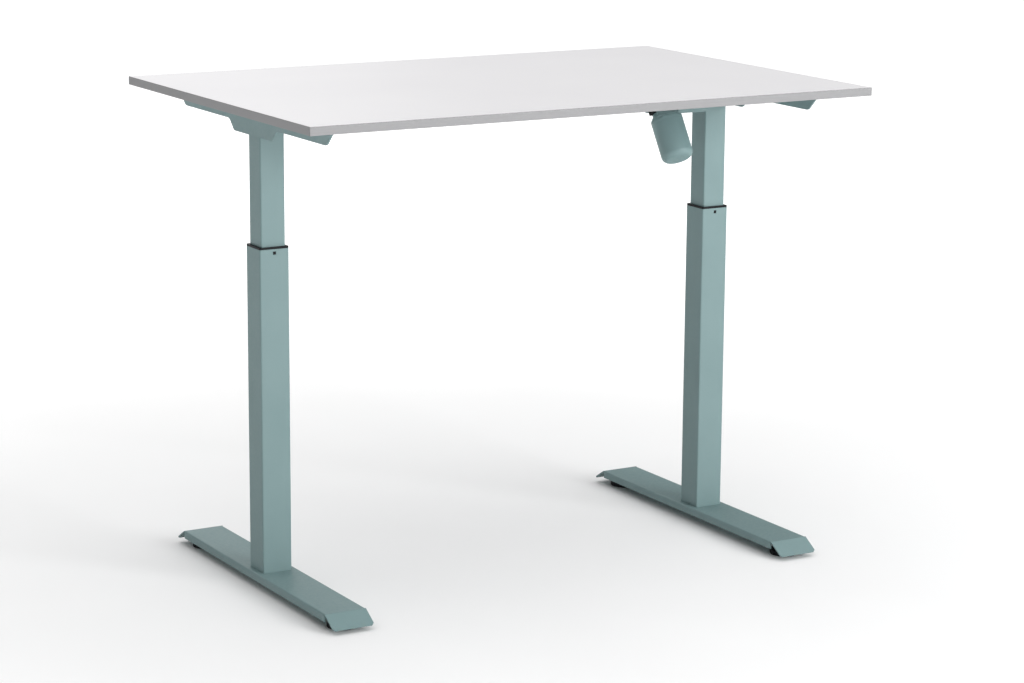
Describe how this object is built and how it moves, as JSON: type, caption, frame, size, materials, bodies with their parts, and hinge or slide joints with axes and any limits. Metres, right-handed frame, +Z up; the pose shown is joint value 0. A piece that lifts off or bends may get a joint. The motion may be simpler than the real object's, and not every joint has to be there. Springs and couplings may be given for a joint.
{
  "type": "height adjustable standing desk",
  "caption": "Sit-stand desk: white worktop on two telescopic square-tube legs with T feet, a motor with a cross shaft, levelling glides and a push-button handset.",
  "frame": {"origin": "on the floor, under the centre of the worktop", "axes": "+X along the worktop to the user's right as seen from the front, +Y to the back, +Z up; the user's edge faces -Y"},
  "size_m": [1.2, 0.8, 0.94],
  "materials": {
    "powder_coated_steel": "grey-teal fine-texture powder coat, satin",
    "bare_steel": "machined, lightly oiled",
    "zinc_plated_steel": "bright zinc plate",
    "black_plastic": "moulded, fine matt texture",
    "pale_nylon": "natural nylon",
    "bronze": "machined bronze",
    "white_laminate_board": "white melamine laminate on chipboard, matt",
    "grey_edge_band": "grey ABS edge band, matt",
    "grey_button_plastic": "moulded, matt"
  },
  "bodies": {
    "base": {"left_foot": "powder_coated_steel", "right_foot": "powder_coated_steel", "left_base_block": "bare_steel", "right_base_block": "bare_steel", "foot_screws": "zinc_plated_steel", "left_outer_tube": "powder_coated_steel", "right_outer_tube": "powder_coated_steel", "left_collar": "black_plastic", "right_collar": "black_plastic", "left_nut_tube": "bare_steel", "right_nut_tube": "bare_steel", "left_spindle_nut": "bronze", "right_spindle_nut": "bronze", "glide_nuts": "zinc_plated_steel"},
    "top": {"worktop": "white_laminate_board", "long_edge_bands": "grey_edge_band", "short_edge_bands": "grey_edge_band", "left_side_bracket": "powder_coated_steel", "right_side_bracket": "powder_coated_steel", "left_head_plate": "powder_coated_steel", "right_head_plate": "powder_coated_steel", "left_inner_tube": "powder_coated_steel", "right_inner_tube": "powder_coated_steel", "left_lower_guide": "pale_nylon", "right_lower_guide": "pale_nylon", "left_gear_case": "pale_nylon", "right_gear_case": "pale_nylon", "left_spindle_bearing": "bare_steel", "right_spindle_bearing": "bare_steel", "front_cross_rail": "powder_coated_steel", "back_cross_rail": "powder_coated_steel", "frame_bolts": "zinc_plated_steel", "worktop_screws": "zinc_plated_steel", "gearbox_housing": "powder_coated_steel", "motor_can": "powder_coated_steel", "motor_socket": "black_plastic", "motor_carrier": "powder_coated_steel", "control_box_plate": "bare_steel", "control_box_cover": "black_plastic", "power_inlet": "black_plastic", "handset_case": "black_plastic"},
    "left_front_glide": {"left_front_glide_pad": "black_plastic", "left_front_glide_stud": "zinc_plated_steel"},
    "left_back_glide": {"left_back_glide_pad": "black_plastic", "left_back_glide_stud": "zinc_plated_steel"},
    "right_front_glide": {"right_front_glide_pad": "black_plastic", "right_front_glide_stud": "zinc_plated_steel"},
    "right_back_glide": {"right_back_glide_pad": "black_plastic", "right_back_glide_stud": "zinc_plated_steel"},
    "up_key": {"up_button": "grey_button_plastic"},
    "down_key": {"down_button": "grey_button_plastic"},
    "shaft_line": {"cross_shaft": "bare_steel", "gearbox_sleeve": "bare_steel", "left_shaft_gear": "bare_steel", "right_shaft_gear": "bare_steel"},
    "left_screw": {"left_spindle": "bare_steel", "left_spindle_gear": "bare_steel"},
    "right_screw": {"right_spindle": "bare_steel", "right_spindle_gear": "bare_steel"}
  },
  "joints": [
    {"name": "lift", "type": "slide", "parent": "base", "child": "top", "axis": [0, 0, 1], "range_m": [-0.19, 0.285]},
    {"name": "cross_shaft_turn", "type": "hinge", "parent": "top", "child": "shaft_line", "pos_m": [0, 0, 0.888], "axis": [1, 0, 0], "continuous": true},
    {"name": "left_spindle_turn", "type": "hinge", "parent": "top", "child": "left_screw", "pos_m": [-0.494, 0, 0.888], "axis": [0, 0, 1], "continuous": true},
    {"name": "right_spindle_turn", "type": "hinge", "parent": "top", "child": "right_screw", "pos_m": [0.494, 0, 0.888], "axis": [0, 0, 1], "continuous": true},
    {"name": "left_front_glide_height", "type": "slide", "parent": "base", "child": "left_front_glide", "axis": [0, 0, -1], "range_m": [0, 0.006]},
    {"name": "left_back_glide_height", "type": "slide", "parent": "base", "child": "left_back_glide", "axis": [0, 0, -1], "range_m": [0, 0.006]},
    {"name": "right_front_glide_height", "type": "slide", "parent": "base", "child": "right_front_glide", "axis": [0, 0, -1], "range_m": [0, 0.006]},
    {"name": "right_back_glide_height", "type": "slide", "parent": "base", "child": "right_back_glide", "axis": [0, 0, -1], "range_m": [0, 0.006]},
    {"name": "up_button_press", "type": "slide", "parent": "top", "child": "up_key", "axis": [0, 1, 0], "range_m": [0, 0.0015], "stiffness_N_per_m": 900, "springref_m": -0.0005},
    {"name": "down_button_press", "type": "slide", "parent": "top", "child": "down_key", "axis": [0, 1, 0], "range_m": [0, 0.0015], "stiffness_N_per_m": 900, "springref_m": -0.0005}
  ],
  "couplings": [
    {"joint": "cross_shaft_turn", "follows": "lift", "rad_per_m": 785.4},
    {"joint": "left_spindle_turn", "follows": "lift", "rad_per_m": -785.4},
    {"joint": "right_spindle_turn", "follows": "lift", "rad_per_m": 785.4}
  ]
}
